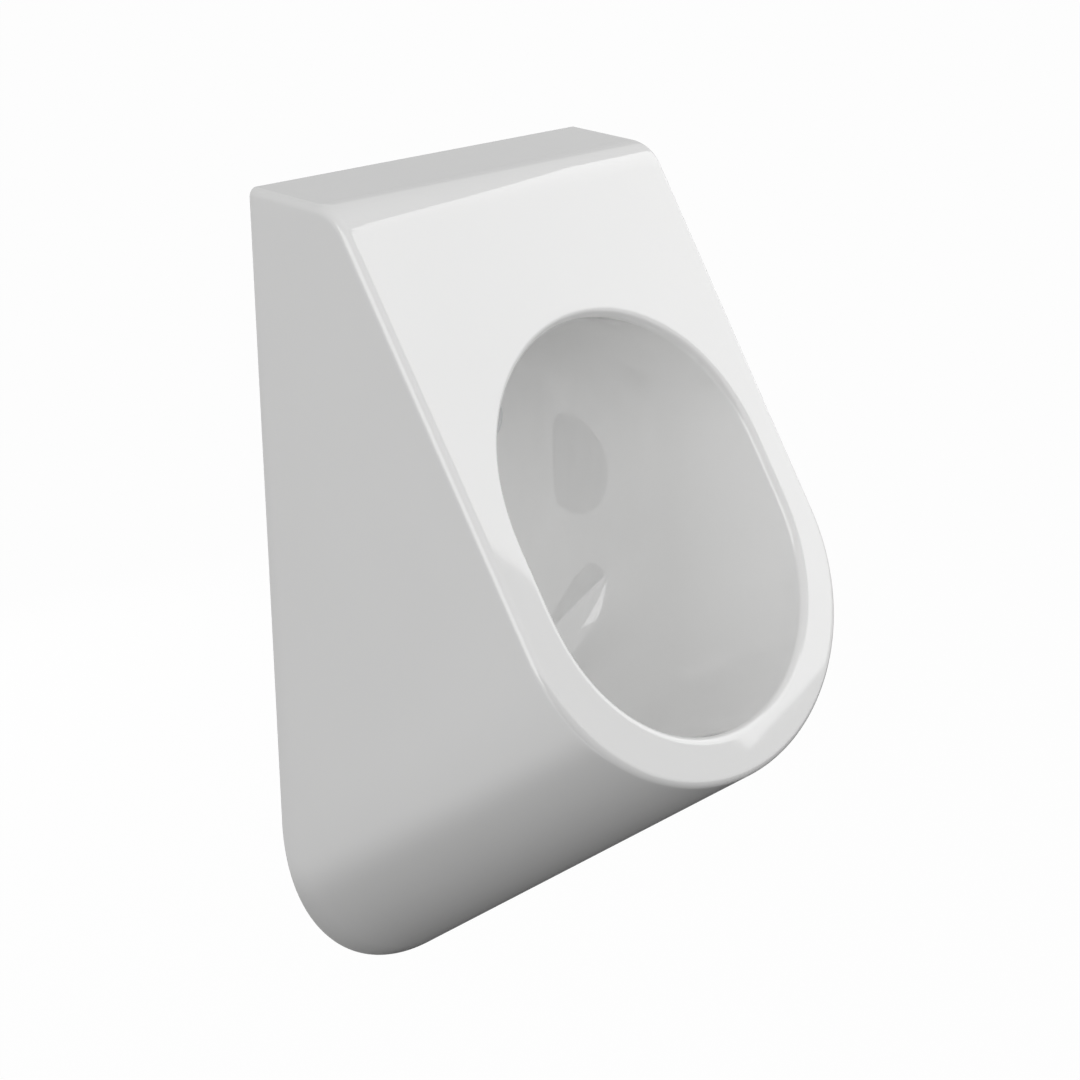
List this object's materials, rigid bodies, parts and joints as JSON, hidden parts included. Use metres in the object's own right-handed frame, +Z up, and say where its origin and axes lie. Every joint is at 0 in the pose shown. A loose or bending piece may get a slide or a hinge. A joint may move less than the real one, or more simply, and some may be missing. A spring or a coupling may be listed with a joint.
{
  "type": "wall hung urinal",
  "caption": "Wall hung urinal bowl in white glazed china with a slanted shield-shaped front, an oblong opening with a rolled rim, a lift-out trap cartridge, a rear water inlet and wall hooks.",
  "frame": {"origin": "centre of the waste pipe on the wall plane", "axes": "+X to the right seen from the front, +Y into the wall, +Z up"},
  "size_m": [0.35, 0.3343, 0.615],
  "materials": {
    "china": "gloss white glaze",
    "trap_plastic": "light grey moulded plastic",
    "ring_plastic": "grey moulded plastic",
    "cup_plastic": "white moulded plastic",
    "bell_plastic": "blue moulded plastic",
    "pipe_plastic": "light grey pipe",
    "plug_plastic": "grey nylon",
    "seal_rubber": "matte black",
    "pad_rubber": "matte dark grey",
    "strainer_steel": "satin stainless",
    "fixing_steel": "zinc plated",
    "hook_steel": "galvanised",
    "spud_brass": "machined",
    "spreader_chrome": "polished"
  },
  "bodies": {
    "bowl": {"ceramic_body": "china", "drain_ring": "ring_plastic", "drain_ring_seal": "seal_rubber", "housing_seal": "seal_rubber", "trap_housing": "trap_plastic", "outlet_nut": "trap_plastic", "outlet_seal": "seal_rubber", "waste_pipe": "pipe_plastic", "inlet_spud": "spud_brass", "inlet_front_seal": "seal_rubber", "inlet_back_seal": "seal_rubber", "inlet_washer": "fixing_steel", "inlet_nut": "spud_brass", "inlet_filter": "strainer_steel", "spreader": "spreader_chrome", "left_hanger": "hook_steel", "right_hanger": "hook_steel", "hanger_pads": "pad_rubber", "hanger_washers": "fixing_steel", "hanger_screws": "fixing_steel", "wall_plugs": "plug_plastic"},
    "cartridge": {"trap_cartridge": "cup_plastic", "trap_bell": "bell_plastic", "cartridge_o_rings": "seal_rubber"},
    "strainer_body": {"strainer": "strainer_steel", "strainer_ring": "seal_rubber"}
  },
  "joints": [
    {"name": "cartridge_lift", "type": "slide", "parent": "bowl", "child": "cartridge", "axis": [0, 0, 1], "range_m": [0, 0.09]},
    {"name": "strainer_lift", "type": "slide", "parent": "cartridge", "child": "strainer_body", "axis": [0, 0, 1], "range_m": [0, 0.09]}
  ]
}
